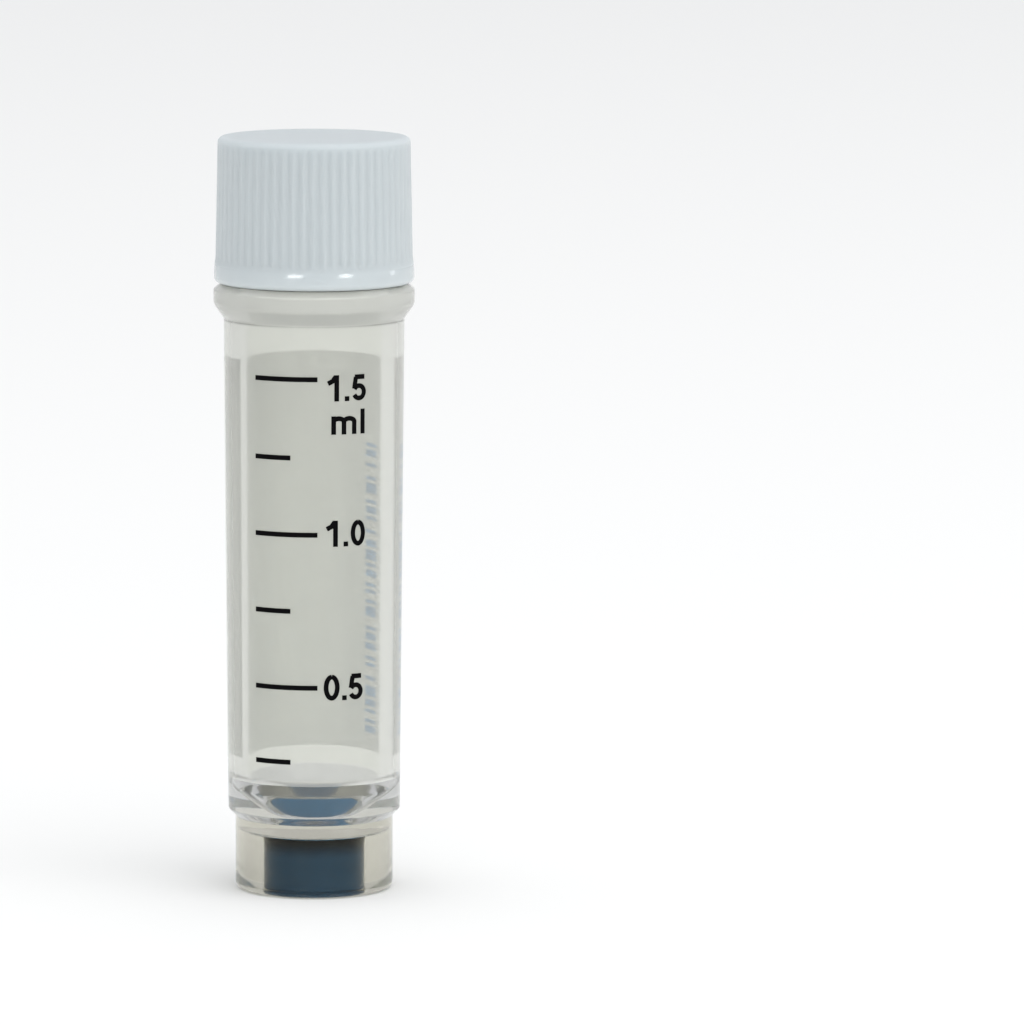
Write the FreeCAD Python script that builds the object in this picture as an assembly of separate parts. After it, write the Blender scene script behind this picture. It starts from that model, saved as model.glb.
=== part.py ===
import FreeCAD, Part
import math
import os

# A self-standing cryogenic vial with an outside thread, closed by its screw cap.
# Millimetres. The origin is the middle of the foot's underside, and +Z runs up the tube's axis.

# ---- tube: outside ----
tube_height = 44.2           # underside of the foot to the mouth
neck_height = 6.9            # from the flange's top to the mouth
foot_height = 4.5            # of the skirt that the vial stands on, up to the step
foot_edge = 0.4              # easing of the edge that rests on the bench
step_rise = 0.45             # height of the sloping step from the skirt out to the body
step_width = 0.44            # how far the body stands out past the skirt
body_radius_low = 5.28       # just above the step
body_draft = 0.25            # how much wider the body is just below the flange
flange_reach = 0.63          # how far the flange stands out past the body there
flange_side = 0.9            # height of the flange's straight side
flange_slope = 0.9           # height of the rounded slope under the flange
flange_slope_bulge = 0.06    # how far that slope stands out from a straight line
flange_bevel = 0.35          # height of the bevel on the flange's upper edge
flange_bevel_width = 0.44    # and its width

# ---- tube: inside ----
neck_wall = 0.65             # between the plain neck and the bore
bore_draft = 0.14            # how much the bore narrows towards its lower end
shoulder_height = 1.0        # of the steep upper part of the bowl that closes the bore
shoulder_width = 0.66        # how much it narrows the bore
cone_height = 1.4            # of the cone below it
dish_depth = 0.3             # of the shallow dish in the bowl's middle
dish_radius = 1.8
dish_rounding = 1.5          # radius where the cone goes over into the dish
pocket_radius = 3.12         # the round pocket under the tube
pocket_depth = 3.5
floor_wall = 0.9             # between the pocket and the lowest point of the bore

# ---- thread, shared by the neck and the cap ----
neck_radius = 4.85           # the plain neck between the thread's turns
thread_depth = 0.45
thread_pitch = 2.0
thread_root_width = 0.8      # along the axis, where the ridge leaves the wall
thread_crest_width = 0.4
neck_thread_turns = 1.75
cap_thread_turns = 1.5
thread_lead_in = 1.1         # from the mouth down to the end of the neck's thread
thread_clearance = 0.12      # between a crest and the wall that it faces
thread_sink = 0.12           # how far a ridge reaches into its own wall
mouth_edge = 0.15            # bevels on the mouth's two edges

# ---- cap ----
cap_gap = 0.1                # between the cap's lower edge and the flange
cap_top_wall = 1.3
cap_wall = 0.52              # from the inside wall to the bottom of the grooves between ribs
rib_count = 60
rib_height = 0.15
rib_width = 0.52             # where it leaves the wall
rib_sink = 0.35              # how far its root reaches into the wall
cap_draft = 0.14             # how much the grip narrows towards the top
band_height = 1.55           # the plain band under the ribs
band_bulge = 0.04            # how far the band stands out past the ribs
band_edge = 0.4              # easing of the band's lower edge
band_bevel = 0.15            # height of the bevel on its upper edge
cap_top_edge = 0.35          # easing round the cap's top
rib_end_gap = 0.05           # the ribs stop this far below it
cap_mouth_bevel = 0.25

# ---- sealing washer, under the cap's ceiling ----
washer_thickness = 0.8
washer_inner_radius = 3.3
washer_clearance = 0.02      # between the washer and the cap all round

# ---- insert in the pocket under the tube ----
insert_recess = 0.2          # from the foot's underside up to the insert's lower face
insert_clearance = 0.05      # round its side
insert_edge = 0.15           # chamfer round both its ends

# ---- sizes that follow from those above ----
flange_top = tube_height - neck_height
foot_radius = body_radius_low - step_width
body_radius_high = body_radius_low + body_draft
flange_radius = body_radius_high + flange_reach
bore_radius_mouth = neck_radius - neck_wall
bore_radius_low = bore_radius_mouth - bore_draft
bore_floor = pocket_depth + floor_wall

os.makedirs("parts", exist_ok=True)
axis_up = FreeCAD.Vector(0, 0, 1)
origin = FreeCAD.Vector(0, 0, 0)


def point(radius, height):
    """A point of a half section, in the XZ plane."""
    return FreeCAD.Vector(radius, 0, height)


def line(start, end):
    return Part.LineSegment(point(*start), point(*end)).toShape()


def arc(start, middle, end):
    return Part.Arc(point(*start), point(*middle), point(*end)).toShape()


def bulged(start, end, bulge):
    """An arc from start up to end that bulges outwards from the straight line between them."""
    across, up = end[0] - start[0], end[1] - start[1]
    share = bulge / math.hypot(across, up)
    middle = ((start[0] + end[0]) / 2 + share * up, (start[1] + end[1]) / 2 - share * across)
    return arc(start, middle, end)


def outline(*points):
    """Straight edges from each point of a half section to the next."""
    return [line(a, b) for a, b in zip(points, points[1:])]


def drafted(start, end):
    """A long wall that leans a little: a straight spline, which stays coarser than a cone in a mesh."""
    wall = Part.BSplineCurve()
    wall.buildFromPoles([point(*start), point(*end)], False, 1)
    return wall.toShape()


def eased(corner, reach):
    """Three points that take off a corner with two equal bevels, as a small rounding does.

    reach says how far they start and end from the corner, across and upwards.
    """
    across, up = reach
    share = 1 - math.sqrt(0.5)
    middle = (corner[0] + across * share, corner[1] + up * share)
    return (corner[0] + across, corner[1]), middle, (corner[0], corner[1] + up)


def softened(before, corner, after, rounding):
    """The start, middle and end of an arc of that radius that touches both sides of a corner."""
    tip = point(*corner)
    back = (point(*before) - tip).normalize()
    ahead = (point(*after) - tip).normalize()
    half = back.getAngle(ahead) / 2
    reach = rounding / math.tan(half)
    depth = rounding / math.sin(half) - rounding
    inward = (back + ahead).normalize()
    return [(place.x, place.z) for place in (tip + back * reach, tip + inward * depth, tip + ahead * reach)]


def turned(edges):
    """The solid that a closed half section makes when it is turned about the axis."""
    face = Part.Face(Part.Wire(Part.__sortEdges__(edges)))
    return face.revolve(origin, axis_up, 360)


def ridge(root_radius, crest_radius, first_height, turns, sink):
    """A thread's helical ridge: a trapezoid swept once along its helix.

    sink is how far its foot goes into the wall, away from the crest.
    """
    outwards = 1 if crest_radius > root_radius else -1
    foot = root_radius - outwards * sink
    spread = (thread_root_width - thread_crest_width) / 2 / abs(crest_radius - root_radius)
    half_foot = thread_root_width / 2 + spread * sink
    half_crest = thread_crest_width / 2
    section = Part.Wire(outline(
        (foot, first_height - half_foot),
        (crest_radius, first_height - half_crest),
        (crest_radius, first_height + half_crest),
        (foot, first_height + half_foot),
        (foot, first_height - half_foot),
    ))
    helix = Part.makeHelix(thread_pitch, thread_pitch * turns, root_radius)
    helix.translate(axis_up * first_height)
    return helix.makePipeShell([section], True, True)


def bottom_of_bore():
    """The bowl that closes the bore, as a half section: where it starts, and its edges down to the axis."""
    middle = (0, bore_floor)
    dish = (dish_radius, bore_floor + dish_depth)
    shoulder = (bore_radius_low - shoulder_width, dish[1] + cone_height)
    rim = (bore_radius_low, shoulder[1] + shoulder_height)
    start, halfway, end = softened(shoulder, dish, middle, dish_rounding)
    return rim, [*outline(rim, shoulder, start), arc(start, halfway, end), line(end, middle)]


def vial_tube():
    """The tube: one turned section, foot, body, flange, neck, bore and pocket, with its thread."""
    flange_low = flange_top - flange_bevel - flange_side
    slope_low = flange_low - flange_slope
    step_top = foot_height + step_rise
    rim, bottom = bottom_of_bore()
    outside = [
        *outline(
            (pocket_radius, 0),
            *eased((foot_radius, 0), (-foot_edge, foot_edge)),
            (foot_radius, foot_height),
            (body_radius_low, step_top),
        ),
        drafted((body_radius_low, step_top), (body_radius_high, slope_low)),
        bulged((body_radius_high, slope_low), (flange_radius, flange_low), flange_slope_bulge),
        *outline(
            (flange_radius, flange_low),
            (flange_radius, flange_low + flange_side),
            (flange_radius - flange_bevel_width, flange_top),
            (neck_radius, flange_top),
            (neck_radius, tube_height - mouth_edge),
            (neck_radius - mouth_edge, tube_height),
            (bore_radius_mouth + mouth_edge, tube_height),
            (bore_radius_mouth, tube_height - mouth_edge),
        ),
        drafted((bore_radius_mouth, tube_height - mouth_edge), rim),
    ]
    under = outline((0, bore_floor), (0, pocket_depth), (pocket_radius, pocket_depth), (pocket_radius, 0))
    tube = turned(outside + bottom + under)
    first = tube_height - thread_lead_in - thread_pitch * neck_thread_turns
    thread = ridge(neck_radius, neck_radius + thread_depth, first, neck_thread_turns, thread_sink)
    return tube.fuse(thread).removeSplitter()


def grip_rib(buried, groove, groove_top, low, high):
    """One rib of the grip: a round rod that leans in with the draft, from inside the wall.

    Its upper end slopes down and out at 45 degrees from the top of the groove beside it.
    """
    rounding = (rib_width**2 / 4 + rib_height**2) / (2 * rib_height)
    lean = math.atan2(groove - groove_top, high - low)
    direction = FreeCAD.Vector(-math.sin(lean), 0, math.cos(lean))
    rod = Part.makeCylinder(rounding, high - low, point(groove + rib_height - rounding, low), direction)
    clear = groove + 2 * rib_height
    side = Part.Face(Part.Wire(outline(
        (buried, low), (clear, low), (clear, high - (clear - groove_top)),
        (groove_top, high), (buried, high), (buried, low),
    )))
    side.translate(FreeCAD.Vector(0, -rib_width, 0))
    return rod.common(side.extrude(FreeCAD.Vector(0, 2 * rib_width, 0)))


def screw_cap():
    """The cap: a ribbed grip over a plain rounded band, hollow, with its thread inside."""
    bottom = flange_top + cap_gap
    ceiling = tube_height + washer_thickness + washer_clearance
    top = ceiling + cap_top_wall
    inner = neck_radius + thread_depth + thread_clearance
    groove = inner + cap_wall
    groove_top = groove - cap_draft
    band_radius = groove + rib_height + band_bulge
    band_top = bottom + band_height
    core = turned([
        *outline(
            (inner + cap_mouth_bevel, bottom),
            *eased((band_radius, bottom), (-band_edge, band_edge)),
            (band_radius, band_top - band_bevel),
            (band_radius - band_bulge, band_top),
            (groove, band_top),
        ),
        drafted((groove, band_top), (groove_top, top - cap_top_edge)),
        *outline(
            *reversed(eased((groove_top, top), (-cap_top_edge, -cap_top_edge))),
            (0, top),
            (0, ceiling),
            (inner, ceiling),
            (inner, bottom + cap_mouth_bevel),
            (inner + cap_mouth_bevel, bottom),
        ),
    ])
    rib = grip_rib(groove - rib_sink, groove, groove_top, band_top, top - cap_top_edge - rib_end_gap)
    ribs = []
    for i in range(rib_count):
        copy = rib.copy()
        copy.rotate(origin, axis_up, 360 * i / rib_count)
        ribs.append(copy)
    # the cap's ridge lies half a pitch below the neck's, so the two mesh
    neck_first = tube_height - thread_lead_in - thread_pitch * neck_thread_turns
    thread = ridge(inner, inner - thread_depth, neck_first - thread_pitch / 2, cap_thread_turns, thread_sink)
    return core.fuse(ribs).fuse(thread).removeSplitter()


def sealing_washer():
    """The soft ring that the mouth presses on."""
    inner = neck_radius + thread_depth + thread_clearance
    outer = inner - washer_clearance
    return turned(outline(
        (washer_inner_radius, tube_height), (outer, tube_height),
        (outer, tube_height + washer_thickness), (washer_inner_radius, tube_height + washer_thickness),
        (washer_inner_radius, tube_height),
    ))


def base_insert():
    """The round insert, pushed up to the pocket's ceiling, a little short of the foot's underside."""
    radius = pocket_radius - insert_clearance
    low = insert_recess
    top = pocket_depth
    return turned(outline(
        (0, low), (radius - insert_edge, low), (radius, low + insert_edge),
        (radius, top - insert_edge), (radius - insert_edge, top), (0, top), (0, low),
    ))


pieces = {
    "vial_tube": vial_tube(),
    "screw_cap": screw_cap(),
    "sealing_washer": sealing_washer(),
    "base_insert": base_insert(),
}
for name, shape in pieces.items():
    solids = shape.Solids
    if len(solids) != 1 or not shape.isValid():
        raise ValueError(f"{name} is not one valid solid")
    solids[0].exportStep(f"parts/{name}.step")
    heights = [round(shape.BoundBox.ZMin, 2), round(shape.BoundBox.ZMax, 2)]
    print(name, round(shape.Volume, 2), "mm3", heights)
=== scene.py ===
import math

import bpy
import numpy as np
from mathutils import Euler, Matrix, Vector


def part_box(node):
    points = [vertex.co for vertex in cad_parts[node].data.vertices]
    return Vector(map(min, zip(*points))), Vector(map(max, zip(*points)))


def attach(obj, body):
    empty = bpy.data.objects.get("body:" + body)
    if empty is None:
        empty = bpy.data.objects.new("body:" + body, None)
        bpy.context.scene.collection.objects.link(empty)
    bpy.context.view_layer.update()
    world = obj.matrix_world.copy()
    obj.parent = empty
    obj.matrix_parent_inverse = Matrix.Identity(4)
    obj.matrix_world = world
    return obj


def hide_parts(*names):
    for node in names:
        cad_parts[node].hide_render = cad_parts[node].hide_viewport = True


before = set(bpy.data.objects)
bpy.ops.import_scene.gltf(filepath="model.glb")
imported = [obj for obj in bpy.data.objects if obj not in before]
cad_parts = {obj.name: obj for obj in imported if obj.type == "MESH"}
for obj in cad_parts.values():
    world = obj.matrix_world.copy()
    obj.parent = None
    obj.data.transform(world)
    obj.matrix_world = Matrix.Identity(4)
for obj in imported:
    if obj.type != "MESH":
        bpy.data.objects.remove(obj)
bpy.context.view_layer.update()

# A self-standing cryogenic vial: a clear tube with its printed scale and rear label, a ribbed screw cap,
# a sealing washer under the cap's ceiling and a dark insert in the foot.
# Lengths are in millimetres until a mesh is made. The front faces -Y, and an azimuth is counted from there
# towards +X, in degrees. What a CAD node's box gives is read from it. The other sizes repeat the solids',
# apart from the roundings, the form of the cap's band and grooves, and the few that say so.

MM = 0.001


def corners_mm(node):
    """Lowest and highest corner of a CAD node, in millimetres."""
    low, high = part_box(node)
    return np.array(low) / MM, np.array(high) / MM


tube_high = corners_mm("vial_tube")[1]
cap_low, cap_high = corners_mm("screw_cap")
washer_low, washer_high = corners_mm("sealing_washer")
insert_low, insert_high = corners_mm("base_insert")

# ---- tube ----
tube_height = tube_high[2]
flange_radius = tube_high[0]
cap_gap = 0.05               # from the flange's top up to the cap; half of the solids'
flange_top = cap_low[2] - cap_gap
flange_side = 0.9
flange_slope = 0.9
flange_bevel = 0.35
flange_bevel_width = 0.44
flange_reach = 0.63
body_draft = 0.25
step_width = 0.44
step_rise = 0.45
foot_height = 4.5
foot_edge = 0.4
neck_radius = 4.85
neck_wall = 0.65
bore_draft = 0.14
mouth_edge = 0.15
shoulder_height = 1.0        # of the steep upper part of the bowl that closes the bore
shoulder_width = 0.66
cone_height = 1.4
dish_depth = 0.3             # of the shallow dish in the bowl's middle
dish_radius = 1.8
floor_wall = 0.9
pocket_radius = 3.12
pocket_depth = insert_high[2]

# Roundings of the tube's corners, up its outside and down its bore. The solid has bevels or edges there.
pocket_ceiling_rounding = 0.08
pocket_mouth_rounding = 0.06
step_low_rounding = 0.12
step_high_rounding = 0.18
slope_low_rounding = 0.5     # of the slope under the flange
slope_high_rounding = 0.7
bevel_low_rounding = 0.2     # of the bevel on the flange's upper edge
bevel_high_rounding = 0.12
neck_root_rounding = 0.1
bowl_rim_rounding = 0.5
shoulder_rounding = 1.0
dish_rounding = 1.5

body_radius_high = flange_radius - flange_reach
body_radius_low = body_radius_high - body_draft
body_low = foot_height + step_rise
body_high = flange_top - flange_bevel - flange_side - flange_slope
foot_radius = body_radius_low - step_width
bore_radius_mouth = neck_radius - neck_wall
bore_radius_low = bore_radius_mouth - bore_draft
bore_floor = pocket_depth + floor_wall

# ---- thread ----
thread_depth = 0.45
thread_pitch = 2.0
thread_root_width = 0.8
thread_crest_width = 0.4
neck_thread_turns = 1.75
cap_thread_turns = 1.5
thread_lead_in = 1.1
thread_run_out = 0.06        # of a turn, over which the visible ridge rises from the wall at each end
neck_thread_low = tube_height - thread_lead_in - thread_pitch * neck_thread_turns

# ---- cap ----
band_radius = cap_high[0]
band_bulge = 0.04
band_height = 1.55
band_edge = 0.33             # rounding of its lower edge
band_flare = 0.01            # how much the band widens up to its bend
band_bend = 0.86             # from the cap's lower edge up to where the band turns inwards
band_bend_rounding = 5.3
band_crown = 0.11            # how far the band leans in above the bend, where the solid is straight
grip_bend_rounding = 3.0     # where the band goes over into the grip
rib_count = 60
rib_height = 0.15
groove_depth = 0.045         # of the grooves between the ribs, which are softer here than on the solid
groove_low = 1.2             # from the cap's lower edge up to where the grooves begin
groove_run_out = 0.4         # and the height over which they deepen
groove_run_out_top = 0.2     # the same at their upper ends
cap_draft = 0.14
cap_wall = 0.52
cap_top_edge = 0.35
cap_mouth_rounding = 0.22    # inside the cap's lower edge
cap_ceiling_rounding = 0.1
washer_clearance = 0.02
cap_ceiling = washer_high[2] + washer_clearance
cap_inner_radius = band_radius - band_bulge - rib_height - cap_wall

# ---- washer and insert ----
washer_hole = 3.3
washer_edge = 0.06           # rounding of its edges
insert_gap = 0.05            # air up to the pocket's ceiling, which mirrors what is above it; scene only
insert_edge = 0.15
painted_light_top_reach = 0.02       # how far down its edge the upper face's lighter colour reaches, painted light
painted_shade_low = 2.1       # painted shade: the insert's side grows darker from this height up to the second one
painted_shade_high = 3.3

# ---- print on the body ----
ink_lift = 0.012             # how far ink stands off the wall
ink_sink = 0.012             # how far its inner face reaches into the wall, which shows it from behind
label_low = 8.1              # the white writing panel round the back
label_high = 32.7
label_from = 94.0            # azimuths of its two sides, round the back
label_to = 279.0
mark_heights = (32.0, 27.2, 22.5, 17.8, 13.1, 8.5)  # of the scale, long and short in turn
mark_from = -3.87            # round the wall from the front, in mm, where every mark of the scale starts
long_mark_to = 0.2
short_mark_to = -1.46
mark_thickness = 0.3
digit_height = 1.6
digit_stroke = 0.185         # of a digit's height
bars_low = 9.2               # a made-up bar code near the panel's side
bars_from = 109.5
bars_to = 130.5
bar_unit = 0.207
bar_widths = (2, 1, 1, 2, 3, 1, 1, 1, 2, 2, 1, 3, 1, 1, 1, 2, 1, 3, 2, 1, 1, 2, 1, 3, 1, 1, 2, 1)
bar_gaps = (1, 2, 1, 1, 2, 3, 1, 2, 1, 1, 3, 1, 2, 1, 2, 1, 1, 1, 2, 3, 1, 1, 2, 1, 3, 2, 1, 1)
bar_film = 0.012             # thickness of the bars' ink

# ---- fineness of the meshes ----
tube_columns = 192           # faces round the axis
ring_columns = 128
columns_per_rib = 10
neck_thread_row = 0.08       # height of a row of faces where a thread runs
cap_thread_row = 0.12
sharp_turn = math.radians(40)  # between two faces, from which their edge stays sharp
same = 1e-6                  # two lengths that differ by less are equal


# ======== surfaces ========

def rounded(corners, radii, step=0.4, arc_steps=5):
    """A profile with rounded corners.

    Each inner corner gives way to an arc of its radius that touches both sides, at radius * tan(turn / 2)
    from the corner; straight runs are divided into equal parts no longer than step.
    """
    corners = np.array(corners, float)
    ahead = np.diff(corners, axis=0)
    ahead /= np.linalg.norm(ahead, axis=1)[:, None]
    bends = [corners[:1]]
    for corner, radius, before, after in zip(corners[1:-1], radii, ahead, ahead[1:]):
        turn = math.atan2(before[0] * after[1] - before[1] * after[0], before @ after)
        side = np.array([-before[1], before[0]]) * math.copysign(1, turn)
        start = corner - before * radius * abs(math.tan(turn / 2))
        t = np.linspace(0, abs(turn), arc_steps + 1)[:, None]
        bends.append(start + before * radius * np.sin(t) + side * radius * (1 - np.cos(t)))
    bends.append(corners[-1:])
    runs = []
    for bend, following in zip(bends, bends[1:]):
        parts = max(2, math.ceil(np.linalg.norm(following[0] - bend[-1]) / step))
        share = np.linspace(0, 1, parts + 1)[1:-1, None]
        runs += [bend, bend[-1] + (following[0] - bend[-1]) * share]
    return np.concatenate(runs + [bends[-1]])


def finish_mesh(name, points, quads, triangles=()):
    """Puts points (in mm) and faces into a mesh object, with its faces outwards and shaded smooth."""
    points = np.asarray(points, float).reshape(-1, 3) * MM
    quads = np.asarray(quads, int).reshape(-1, 4)
    triangles = np.asarray(triangles, int).reshape(-1, 3)
    fans = np.concatenate([quads[:, [0, 1, 2]], quads[:, [0, 2, 3]], triangles])
    a, b, c = (points[fans[:, i]] for i in range(3))
    if np.einsum("ij,ij->", a, np.cross(b, c)) < 0:  # six times the enclosed volume
        quads, triangles = quads[:, ::-1], triangles[:, ::-1]
    mesh = bpy.data.meshes.new(name)
    mesh.from_pydata(points, [], [*quads.tolist(), *triangles.tolist()])
    mesh.shade_smooth()
    mesh.set_sharp_from_angle(angle=sharp_turn)
    piece = bpy.data.objects.new(name, mesh)
    bpy.context.scene.collection.objects.link(piece)
    return piece


def turned(name, profile, around, push=None):
    """Surface of revolution: (r cos t, r sin t, z) for every point (r, z) of the profile and every angle t.

    push gives what is added to r there. A profile that starts and ends on the axis closes in two poles; any
    other closes on itself as a ring.
    """
    profile = np.asarray(profile, float)
    t = np.linspace(0, 2 * math.pi, around, endpoint=False)[None, :]
    radius, height = (np.repeat(column[:, None], around, axis=1) for column in profile.T)
    if push is not None:
        radius = radius + push(t, profile)
    grid = np.stack([radius * np.cos(t), radius * np.sin(t), height], axis=-1)
    index = np.arange(len(profile) * around).reshape(len(profile), around)
    if profile[0, 0] > 0:
        lower, upper = index, np.roll(index, -1, axis=0)
        beside = np.roll(index, -1, axis=1)
        return finish_mesh(name, grid, np.stack(
            [lower, beside, np.roll(beside, -1, axis=0), upper], axis=-1))
    body = index[1:-1] - around + 2
    beside = np.roll(body, -1, axis=1)
    quads = np.stack([body[:-1], beside[:-1], beside[1:], body[1:]], axis=-1)
    first = np.stack([np.zeros(around, int), beside[0], body[0]], axis=-1)
    last = np.stack([np.ones(around, int), body[-1], beside[-1]], axis=-1)
    points = np.concatenate([grid[:1, 0], grid[-1:, 0], grid[1:-1].reshape(-1, 3)])
    return finish_mesh(name, points, quads, np.concatenate([first, last]))


def thread_height(t, z, low, turns):
    """How far a helical ridge stands out at angle t and height z.

    The ridge's middle is at low + pitch * s after s turns; its section is a trapezoid across the axis, and
    its height rises and falls over the run-out at both ends.
    """
    turn = t / (2 * math.pi)
    s = np.round((z - low) / thread_pitch - turn) + turn
    away = np.abs(z - low - thread_pitch * s)
    flank = (thread_root_width - thread_crest_width) / 2
    section = np.clip((thread_root_width / 2 - away) / flank, 0, 1)
    ends = np.clip(s / thread_run_out, 0, 1) * np.clip((turns - s) / thread_run_out, 0, 1)
    return thread_depth * section * ends


def body_radius(z):
    """The outside radius of the drafted body at height z."""
    share = (np.asarray(z, float) - body_low) / (body_high - body_low)
    return body_radius_low + body_draft * share


def on_body(azimuth, z, lift):
    """Points at an azimuth and a height on the body's wall, lifted off it: (R sin a, -R cos a, z)."""
    a, r = np.radians(azimuth), body_radius(z) + lift
    return np.stack([r * np.sin(a), -r * np.cos(a), z + 0 * a], axis=-1)


def ink(azimuth, z, inner=-ink_sink, outer=ink_lift):
    """A thin closed layer over a grid of azimuths and heights: the grid twice and a rim between them.

    inner and outer say how far its two faces are off the wall.
    """
    rows, columns = azimuth.shape
    index = np.arange(rows * columns).reshape(rows, columns)
    front = np.stack([index[:-1, :-1], index[1:, :-1], index[1:, 1:], index[:-1, 1:]], axis=-1)
    front = front.reshape(-1, 4)
    rim = np.concatenate([index[:, 0], index[-1, 1:], index[-2::-1, -1], index[0, -2:0:-1]])
    beside = np.roll(rim, -1)
    below = rows * columns
    sides = np.stack([rim, rim + below, beside + below, beside], axis=-1)
    points = np.concatenate([on_body(azimuth, z, lift).reshape(-1, 3) for lift in (outer, inner)])
    return points, np.concatenate([front, front[:, ::-1] + below, sides])


def patch(low, high, start, stop, *faces):
    """Ink over a rectangle between two heights and two azimuths, in steps of 1 mm and 2 degrees."""
    azimuth = np.linspace(start, stop, max(2, math.ceil((stop - start) / 2)) + 1)
    z = np.linspace(low, high, max(2, math.ceil(high - low)) + 1)
    return ink(*np.meshgrid(azimuth, z, indexing="ij"), *faces)


def stroke(path, left, base):
    """Ink along a path of (x, y) in digit heights: the path moved by half a stroke to each side of itself.

    left is the azimuth of x = 0 and base the height of y = 0.
    """
    path = np.array(path, float)
    along = np.gradient(path, axis=0)
    along /= np.linalg.norm(along, axis=1)[:, None]
    aside = np.stack([-along[:, 1], along[:, 0]], axis=1) * digit_stroke / 2
    sides = np.stack([path + aside, path - aside], axis=1) * digit_height
    z = base + sides[..., 1]
    return ink(left + np.degrees(sides[..., 0] / body_radius(z)), z)


def printed(name, parts):
    """One mesh of many layers of ink: their points in a row, and their faces counted on from each other."""
    starts = np.cumsum([0] + [len(points) for points, faces in parts[:-1]])
    faces = [faces + start for start, (points, faces) in zip(starts, parts)]
    return finish_mesh(name, np.concatenate([points for points, faces in parts]), np.concatenate(faces))


# ======== materials ========

def linear(code):
    """A linear colour from an sRGB hex value."""
    channels = [int(code[i:i + 2], 16) / 255 for i in (1, 3, 5)]
    return tuple(c / 12.92 if c <= 0.04045 else ((c + 0.055) / 1.055) ** 2.4 for c in channels) + (1.0,)


def add(tree, kind, values=None, links=None, **settings):
    """Adds a node: values and links go to its sockets, and settings to the node itself."""
    node = tree.nodes.new(kind)
    for key, value in settings.items():
        setattr(node, key, value)
    for key, value in (values or {}).items():
        node.inputs[key].default_value = value
    for key, output in (links or {}).items():
        tree.links.new(output, node.inputs[key])
    return node


def material(name):
    """An empty node material and its output."""
    made = bpy.data.materials.new(name)
    made.use_nodes = True
    made.node_tree.nodes.clear()
    return made, made.node_tree, add(made.node_tree, "ShaderNodeOutputMaterial")


def skin(tree, size, strength, height=0.02, detail=2.0):
    """The relief of a skin: noise raises it up to height, in blobs about size across, in millimetres."""
    place = add(tree, "ShaderNodeTexCoord")
    noise = add(tree, "ShaderNodeTexNoise", {"Scale": 1 / (size * MM), "Detail": detail},
                {"Vector": place.outputs["Object"]})
    return add(tree, "ShaderNodeBump", {"Strength": strength, "Distance": height * MM},
               {"Height": noise.outputs["Fac"]})


def lit_through(tree, out, shader, code):
    """Ends a material so that a share of the light falls through its walls onto what they hold."""
    open_way = add(tree, "ShaderNodeBsdfTransparent", {"Color": linear(code)})
    path = add(tree, "ShaderNodeLightPath")
    mixed = add(tree, "ShaderNodeMixShader", None, {
        0: path.outputs["Is Shadow Ray"], 1: shader.outputs[0], 2: open_way.outputs[0]})
    tree.links.new(mixed.outputs[0], out.inputs["Surface"])


def clear_polypropylene(name, code, roughness, clearness, shine):
    """Natural polypropylene, moulded against polished steel: glossy, with faint waves along the wall.

    clearness is the share of light that it lets through, and the rest gives it its milky white. shine dims
    the reflection that one sees head on.
    """
    made, tree, out = material(name)
    bump = skin(tree, 1.6, 0.03)
    plastic = add(tree, "ShaderNodeBsdfPrincipled", {
        "Base Color": linear(code), "Roughness": roughness, "IOR": 1.49, "Transmission Weight": clearness,
        "Specular Tint": linear(shine),
    }, {"Normal": bump.outputs["Normal"]})
    lit_through(tree, out, plastic, "#d4d5d2")
    return made


def white_polypropylene(name, code, roughness):
    """White polypropylene with a touch of blue, moulded: light goes into it, so small forms look soft.

    The grip is satin and the band below it is polished.
    """
    made, tree, out = material(name)
    bump = skin(tree, 0.12, 0.04)
    plastic = add(tree, "ShaderNodeBsdfPrincipled", {
        "Base Color": linear(code), "Roughness": roughness, "IOR": 1.49,
        "Subsurface Weight": 1.0, "Subsurface Radius": (1.0, 1.0, 1.0), "Subsurface Scale": 1.1 * MM,
    }, {"Normal": bump.outputs["Normal"]})
    lit_through(tree, out, plastic, "#b8b8b8")
    return made


def silicone():
    """Translucent silicone rubber, die-cut: soft, off-white and almost without gloss."""
    made, tree, out = material("silicone_rubber_cut")
    rubber = add(tree, "ShaderNodeBsdfPrincipled", {
        "Base Color": linear("#dcdedb"), "Roughness": 0.55, "IOR": 1.41,
        "Subsurface Weight": 0.4, "Subsurface Radius": (1.0, 1.0, 1.0), "Subsurface Scale": 0.4 * MM,
    })
    tree.links.new(rubber.outputs[0], out.inputs["Surface"])
    return made


def insert_plastic(name, low_code, high_code):
    """Dark blue-grey plastic with a fine matt grain, whose side is darker at its top than at its bottom:
    painted shade.
    """
    made, tree, out = material(name)
    bump = skin(tree, 0.15, 0.15, detail=4.0)
    place = add(tree, "ShaderNodeTexCoord")
    axes = add(tree, "ShaderNodeSeparateXYZ", None, {0: place.outputs["Object"]})
    # painted shade: the colour runs from low_code up the side to the darker high_code
    rise = add(tree, "ShaderNodeMapRange", {
        "From Min": painted_shade_low * MM, "From Max": painted_shade_high * MM,
    }, {"Value": axes.outputs["Z"]}, interpolation_type="SMOOTHSTEP")
    colour = add(tree, "ShaderNodeMix", {6: linear(low_code), 7: linear(high_code)},
                 {0: rise.outputs[0]}, data_type="RGBA")
    plastic = add(tree, "ShaderNodeBsdfPrincipled", {
        "Roughness": 0.42, "IOR": 1.5, "Specular IOR Level": 0.3,
    }, {"Base Color": colour.outputs[2], "Normal": bump.outputs["Normal"]})
    tree.links.new(plastic.outputs[0], out.inputs["Surface"])
    return made


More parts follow.
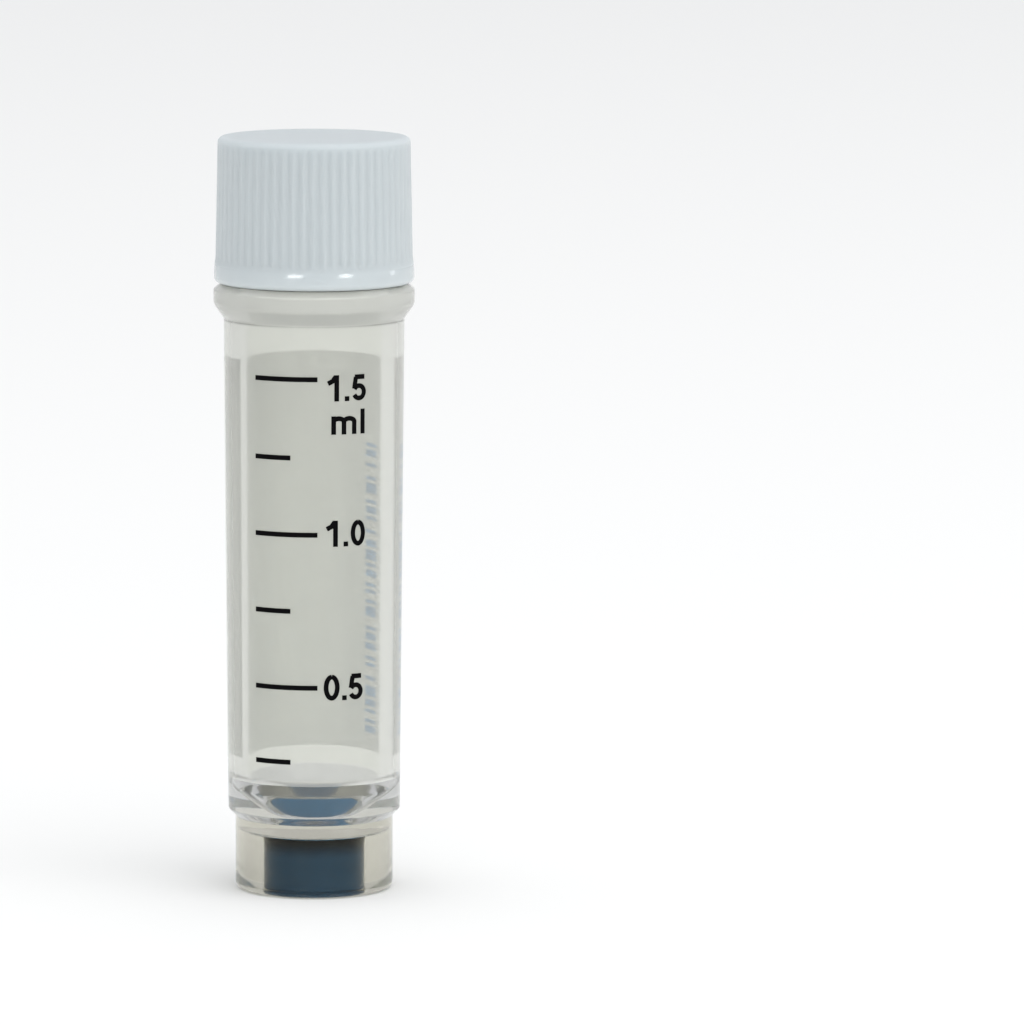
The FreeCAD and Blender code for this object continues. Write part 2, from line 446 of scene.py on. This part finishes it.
def ink_material(name, code, roughness, specular):
    """Screen-printed ink: an even opaque film, a little rough from the mesh it was pressed through."""
    made, tree, out = material(name)
    bump = skin(tree, 0.08, 0.1, 0.01)
    film = add(tree, "ShaderNodeBsdfPrincipled", {
        "Base Color": linear(code), "Roughness": roughness, "IOR": 1.5, "Specular IOR Level": specular,
    }, {"Normal": bump.outputs["Normal"]})
    tree.links.new(film.outputs[0], out.inputs["Surface"])
    return made


def paper():
    """The pale matt sweep that the vial stands on."""
    made, tree, out = material("matt_paper")
    sheet = add(tree, "ShaderNodeBsdfPrincipled", {
        "Base Color": linear("#fafaf8"), "Roughness": 0.9, "Specular IOR Level": 0.1})
    tree.links.new(sheet.outputs[0], out.inputs["Surface"])
    return made


# ======== pieces ========

def dressed(piece, finish, body, slot, *nodes):
    """Gives a piece its material and the body that it rides on, and hides the CAD nodes that it replaces;
    slot is not used.
    """
    piece.data.materials.append(finish)
    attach(piece, body)
    if nodes:
        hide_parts(*nodes)
    return piece


def vial_tube():
    """The tube as one turned skin: pocket, foot, body, flange, threaded neck, mouth, bore and bowl."""
    flange_low = flange_top - flange_bevel - flange_side
    dish_high = bore_floor + dish_depth
    shoulder_low = dish_high + cone_height
    outline = [
        ((0, pocket_depth), None),
        ((pocket_radius, pocket_depth), pocket_ceiling_rounding),
        ((pocket_radius, 0), pocket_mouth_rounding),
        ((foot_radius, 0), foot_edge),
        ((foot_radius, foot_height), step_low_rounding),
        ((body_radius_low, body_low), step_high_rounding),
        ((body_radius_high, body_high), slope_low_rounding),
        ((flange_radius, flange_low), slope_high_rounding),
        ((flange_radius, flange_low + flange_side), bevel_low_rounding),
        ((flange_radius - flange_bevel_width, flange_top), bevel_high_rounding),
        ((neck_radius, flange_top), neck_root_rounding),
        ((neck_radius, tube_height), mouth_edge),
        ((bore_radius_mouth, tube_height), mouth_edge),
        ((bore_radius_low, shoulder_low + shoulder_height), bowl_rim_rounding),
        ((bore_radius_low - shoulder_width, shoulder_low), shoulder_rounding),
        ((dish_radius, dish_high), dish_rounding),
        ((0, bore_floor), None),
    ]
    points = [point for point, radius in outline]
    profile = rounded(points, [radius for point, radius in outline[1:-1]])
    profile[0, 0] = profile[-1, 0] = 0.0

    def thread(t, profile):
        r, z = profile[:, :1], profile[:, 1:]
        outside = (np.abs(r - neck_radius) < same) & (z > flange_top)
        return np.where(outside, thread_height(t, z, neck_thread_low, neck_thread_turns), 0.0)

    profile = finer(profile, flange_top, tube_height, neck_radius, neck_thread_row)
    return turned("tube_skin", profile, tube_columns, thread)


def face_centres(mesh):
    """Distance from the axis and height of the middle of every face, in millimetres."""
    centre = np.empty(len(mesh.polygons) * 3)
    mesh.polygons.foreach_get("center", centre)
    x, y, z = centre.reshape(-1, 3).T / MM
    return np.hypot(x, y), z


def tube_finishes(mesh):
    """Shares the tube's finishes out by height and by side, in the order in which the tube holds them.

    0 is the body's outside, 1 the flange, 2 the wall round the bowl, 3 the skirt and its pocket, 4 the bowl
    and 5 the bore's wall.
    """
    radius, z = face_centres(mesh)
    rim = bore_floor + dish_depth + cone_height + shoulder_height
    within = (radius < bore_radius_mouth + neck_wall / 2) & (z > bore_floor - floor_wall / 2)
    flange = (z > body_high) & (z < flange_top + mouth_edge)
    finish = np.select([within & (z < rim), within, z < foot_height, z < rim, flange], [4, 5, 3, 2, 1], 0)
    mesh.polygons.foreach_set("material_index", finish.astype(np.int32))


def cap_finishes(mesh):
    """Gives the second finish to the outer faces of the cap's band, below the ribs."""
    radius, z = face_centres(mesh)
    outside = (radius > cap_inner_radius + cap_wall / 2) & (z < cap_low[2] + groove_low)
    mesh.polygons.foreach_set("material_index", outside.astype(np.int32))


def finer(profile, low, high, radius, step):
    """The profile with its straight wall at that radius, between two heights, divided into short steps."""
    wall = (np.abs(profile[:, 0] - radius) < same) & (profile[:, 1] > low) & (profile[:, 1] < high)
    first, last = np.flatnonzero(wall)[[0, -1]]
    start, stop = profile[first, 1], profile[last, 1]
    z = np.linspace(start, stop, math.ceil(abs(stop - start) / step) + 1)
    return np.concatenate([profile[:first], np.stack([0 * z + radius, z], axis=1), profile[last + 1:]])


def eased(share):
    """A share from 0 to 1 that starts and ends gently: 3 s^2 - 2 s^3."""
    return share * share * (3 - 2 * share)


def screw_cap():
    """The cap as one turned skin, with its grooves pushed into it and its inner thread pushed out of it.

    The grooves are one cosine wave round the grip, which fades in above the band and out below the top edge.
    """
    low, high = cap_low[2], cap_high[2]
    band_top = low + band_height
    grip_radius = band_radius - band_crown
    outline = [
        ((0, cap_ceiling), None),
        ((cap_inner_radius, cap_ceiling), cap_ceiling_rounding),
        ((cap_inner_radius, low), cap_mouth_rounding),
        ((band_radius - band_flare, low), band_edge),
        ((band_radius, low + band_bend), band_bend_rounding),
        ((grip_radius, band_top), grip_bend_rounding),
        ((grip_radius - cap_draft, high), cap_top_edge),
        ((0, high), None),
    ]
    points = [point for point, radius in outline]
    profile = rounded(points, [radius for point, radius in outline[1:-1]], step=0.3)
    profile = finer(profile, low, cap_ceiling, cap_inner_radius, cap_thread_row)

    def grooves_and_thread(t, profile):
        r, z = profile[:, :1], profile[:, 1:]
        inside = np.abs(r - cap_inner_radius) < same
        outside = r > cap_inner_radius + cap_wall / 2
        rise = np.clip((z - low - groove_low) / groove_run_out, 0, 1)
        fall = np.clip((high - cap_top_edge - z) / groove_run_out_top, 0, 1)
        fade = eased(rise) * eased(fall)
        groove = -groove_depth * fade * (0.5 - 0.5 * np.cos(rib_count * t))
        inner = -thread_height(t, z, neck_thread_low - thread_pitch / 2, cap_thread_turns)
        return np.where(inside, inner, 0.0) + np.where(outside, groove, 0.0)

    return turned("cap_skin", profile, rib_count * columns_per_rib, grooves_and_thread)


def washer_ring():
    """The washer: a ring with slightly rounded edges."""
    hole, outer = washer_hole, washer_high[0]
    low, high = washer_low[2], washer_high[2]
    middle = (hole + outer) / 2
    corners = [(middle, low), (outer, low), (outer, high), (hole, high), (hole, low), (middle, low)]
    return turned("washer_ring", rounded(corners, [washer_edge] * 4)[:-1], ring_columns)


def insert_plug():
    """The insert: a disc as tall as its pocket, with eased edges."""
    radius = insert_high[0]
    low, high = insert_low[2], insert_high[2] - insert_gap
    corners = [(0, high), (radius, high), (radius, low), (0, low)]
    profile = rounded(corners, [insert_edge, insert_edge], step=0.3)
    profile[0, 0] = profile[-1, 0] = 0.0
    return turned("insert_plug", profile, ring_columns)


def insert_painted_light_top(mesh):
    """Gives the insert's upper face its second material, the same plastic in a lighter blue: painted light.
    """
    radius, z = face_centres(mesh)
    upper = z > insert_high[2] - insert_gap - painted_light_top_reach
    mesh.polygons.foreach_set("material_index", upper.astype(np.int32))


def arc_path(centre, radii, start, stop, steps=14):
    """Points on an ellipse: centre + (a cos t, b sin t), from start to stop degrees."""
    t = np.radians(np.linspace(start, stop, steps))
    return np.stack([centre[0] + radii[0] * np.cos(t), centre[1] + radii[1] * np.sin(t)], axis=1)


def straight(*points):
    """A path through the given points, each run divided in four."""
    points = np.array(points, float)
    share = np.linspace(0, 1, 5)[:-1, None]
    runs = [a + (b - a) * share for a, b in zip(points, points[1:])]
    return np.concatenate(runs + [points[-1:]])


half = digit_stroke / 2
GLYPHS = {  # the strokes of each letter, in digit heights from its lower left corner
    "0": [arc_path((0.31, 0.5), (0.31 - half, 0.5 - half), 90, 450, 33)],
    "1": [straight((0.36, 0), (0.36, 1)), straight((0.02, 0.68), (0.2, 0.77), (0.33, 0.95))],
    "5": [
        straight((0.12, 1 - half), (0.54, 1 - half)),
        straight((0.17, 1 - half), (0.1, 0.46)),
        arc_path((0.3, 0.33), (0.31 - half, 0.33 - half), 152, -155, 24),
    ],
    ".": [straight((0, half), (digit_stroke, half))],
    "m": [
        straight((half, 0), (half, 0.7)),
        np.concatenate([
            arc_path((0.29, 0.48), (0.21, 0.22 - half), 170, 0), straight((0.5, 0.48), (0.5, 0))]),
        np.concatenate([
            arc_path((0.71, 0.48), (0.21, 0.22 - half), 170, 0), straight((0.92, 0.48), (0.92, 0))]),
    ],
    "l": [straight((half, 0), (half, 0.95))],
}


def word(letters, azimuth, base):
    """Letters in a row: each letter's strokes, placed at its own distance from the word's left edge."""
    return [
        stroke(np.array(path) + (x, 0), azimuth, base)
        for letter, x in letters for path in GLYPHS[letter]]


def scale_marks():
    """The graduations: six thin arcs, long and short in turn."""
    parts = []
    for i, z in enumerate(mark_heights):
        reach = (mark_from, short_mark_to if i % 2 else long_mark_to)
        start, stop = np.degrees(np.array(reach) / body_radius(z))
        parts.append(patch(z - mark_thickness / 2, z + mark_thickness / 2, start, stop))
    return parts


def panel(*faces):
    """The white writing panel that wraps the back of the body; faces as for ink."""
    return [patch(label_low, label_high, label_from, label_to, *faces)]


def code_bars(*faces):
    """A made-up row of bars, one above the other, whose widths and gaps are whole numbers of one unit."""
    widths = np.array(bar_widths) * bar_unit
    gaps = np.array(bar_gaps) * bar_unit
    lows = bars_low + np.concatenate([[0], np.cumsum(widths + gaps)[:-1]])
    return [patch(low, low + width, bars_from, bars_to, *faces) for low, width in zip(lows, widths)]


# the one plastic of the tube, by how thick and how milky its wall looks; clearness stands before shine
body_finish = clear_polypropylene("clear_polypropylene_body", "#e5e6e0", 0.05, 0.68, "#bcbcbc")
flange_finish = clear_polypropylene("clear_polypropylene_flange", "#d4d5cf", 0.08, 0.4, "#9a9a9a")
thick_finish = clear_polypropylene("clear_polypropylene_thick", "#cbcccb", 0.06, 0.9, "#8c8c8c")
skirt_finish = clear_polypropylene("clear_polypropylene_skirt", "#c4c2b6", 0.06, 1.0, "#8c8c8c")
bowl_finish = clear_polypropylene("clear_polypropylene_bowl", "#c3c3c6", 0.06, 1.0, "#ffffff")
bore_finish = clear_polypropylene("clear_polypropylene_bore", "#f4f5f0", 0.05, 1.0, "#ffffff")
# the panel and the bars have a second layer towards the wall, in the tone that they have through the
# plastic: the panel's is a brighter white, painted light, and the bars' is their shadow through the white
# film in blue, painted shade
white_ink = ink_material("white_ink_screen_printed", "#efefec", 0.6, 0.3)
# painted light: the panel's layer towards the wall is a brighter white than its outside
painted_light_ink = ink_material("white_ink_painted_light_behind", "#fefefc", 0.6, 0.3)
black_ink = ink_material("black_ink_screen_printed", "#030304", 0.5, 0.05)
# painted shade: the bars' layer towards the wall is their shadow through the white panel, in blue
painted_bar_shade_ink = ink_material("bar_painted_shade_behind", "#1294d6", 0.6, 0.3)
grip = white_polypropylene("white_polypropylene_satin", "#bbc2c4", 0.6)
gloss = white_polypropylene("white_polypropylene_polished", "#c2c9cb", 0.13)

tube = dressed(vial_tube(), body_finish, "tube", "clear_polypropylene", "vial_tube")
for finish in (flange_finish, thick_finish, skirt_finish, bowl_finish, bore_finish):
    tube.data.materials.append(finish)
tube_finishes(tube.data)
cap = dressed(screw_cap(), grip, "cap", "cap_polypropylene", "screw_cap")
cap.data.materials.append(gloss)
cap_finishes(cap.data)
dressed(washer_ring(), silicone(), "washer", "silicone", "sealing_washer")
# painted shade: the insert's side darkens from blue-grey to near black towards its top
shaded_side_plastic = insert_plastic("dark_plastic_matt", "#38628c", "#000206")
insert = dressed(insert_plug(), shaded_side_plastic, "tube", "insert_plastic", "base_insert")
# painted light: the insert's upper face is the same plastic in a lighter blue
insert.data.materials.append(insert_plastic("dark_plastic_top_painted_light", "#44a4e8", "#44a4e8"))
insert_painted_light_top(insert.data)

# each letter with its distance from the word's left edge, then that edge's azimuth and the base's height
upper_figure = word((("1", 0), (".", 0.68), ("5", 0.97)), 8.35, 30.66)
unit = word((("m", 0.1), ("l", 1.29)), 9.2, 28.63)
middle_figure = word((("1", 0), (".", 0.68), ("0", 0.97)), 7.7, 21.77)
lower_figure = word((("0", 0), (".", 0.72), ("5", 0.98)), 6.2, 12.32)
for name, parts, colour in (
    ("label_panel", panel(-ink_sink / 3, ink_lift), white_ink),
    # painted light: a brighter white towards the wall
    ("label_panel_painted_light", panel(-ink_sink, ink_lift / 3), painted_light_ink),
    ("scale_marks", scale_marks(), black_ink),
    ("scale_figures", upper_figure + unit + middle_figure + lower_figure, black_ink),
    ("code_bars", code_bars(ink_lift / 2, ink_lift + bar_film), black_ink),
    # painted shade: the bars' shadow through the panel
    ("code_bars_painted_shade", code_bars(-ink_sink - bar_film, -ink_sink / 2), painted_bar_shade_ink),
):
    dressed(printed(name, parts), colour, "tube", "clear_polypropylene")


# ======== floor, light and camera ========

floor_size = 3.0             # metres
floor_gap = 0.05 * MM        # under the foot, so that its underside is still a surface against air
side = floor_size / 2
floor_corners = [(-side, -side), (side, -side), (side, side), (-side, side)]
floor_mesh = bpy.data.meshes.new("floor")
floor_mesh.from_pydata([(x, y, -floor_gap) for x, y in floor_corners], [], [(0, 1, 2, 3)])
floor_piece = bpy.data.objects.new("floor", floor_mesh)
bpy.context.scene.collection.objects.link(floor_piece)
floor_mesh.materials.append(paper())

world = bpy.data.worlds.new("soft_sky")
bpy.context.scene.world = world
world.use_nodes = True
sky = world.node_tree.nodes["Background"]
sky.inputs["Color"].default_value = linear("#fbfcff")
sky.inputs["Strength"].default_value = 0.85


def lamp(name, azimuth, elevation, distance, width, height, radiance):
    """A rectangular soft box that faces the vial's middle; its power is radiance * area * pi."""
    a, e = math.radians(azimuth), math.radians(elevation)
    away = np.array([math.sin(a) * math.cos(e), -math.cos(a) * math.cos(e), math.sin(e)])
    light = bpy.data.lights.new(name, "AREA")
    light.shape = "RECTANGLE"
    light.size, light.size_y = width, height
    light.energy = radiance * width * height * math.pi
    piece = bpy.data.objects.new(name, light)
    piece.location = away * distance + np.array([0, 0, tube_height / 2 * MM])
    piece.rotation_euler = (math.pi / 2 - e, 0, a)
    bpy.context.scene.collection.objects.link(piece)


# azimuth and elevation in degrees, then distance, width and height in metres, and the radiance
lamp("window_left", -22, 5, 1.0, 0.3, 0.055, 18)
lamp("window_right", 37, 5, 1.0, 0.27, 0.055, 18)
lamp("window_side", 102, 2, 1.0, 0.12, 0.055, 5)
lamp("overhead", 40, 60, 1.0, 0.8, 0.8, 1.7)

view_distance = 0.5          # metres
view_height = 0.088
view_pitch = math.radians(7.38)
view_yaw = math.radians(1.39)
view_roll = math.radians(0.18)
camera = bpy.data.cameras.new("camera")
camera.lens = 289
camera.clip_start, camera.clip_end = 0.01, 10
camera_piece = bpy.data.objects.new("camera", camera)
camera_piece.location = (0, -view_distance, view_height)
camera_piece.rotation_euler = (Euler((math.pi / 2 - view_pitch, 0, -view_yaw)).to_matrix()
                               @ Matrix.Rotation(view_roll, 3, "Z")).to_euler()
bpy.context.scene.collection.objects.link(camera_piece)
bpy.context.scene.camera = camera_piece
bpy.context.scene.view_settings.view_transform = "Standard"
bpy.context.scene.cycles.max_bounces = 24
bpy.context.scene.cycles.glossy_bounces = 16
bpy.context.scene.cycles.transmission_bounces = 24
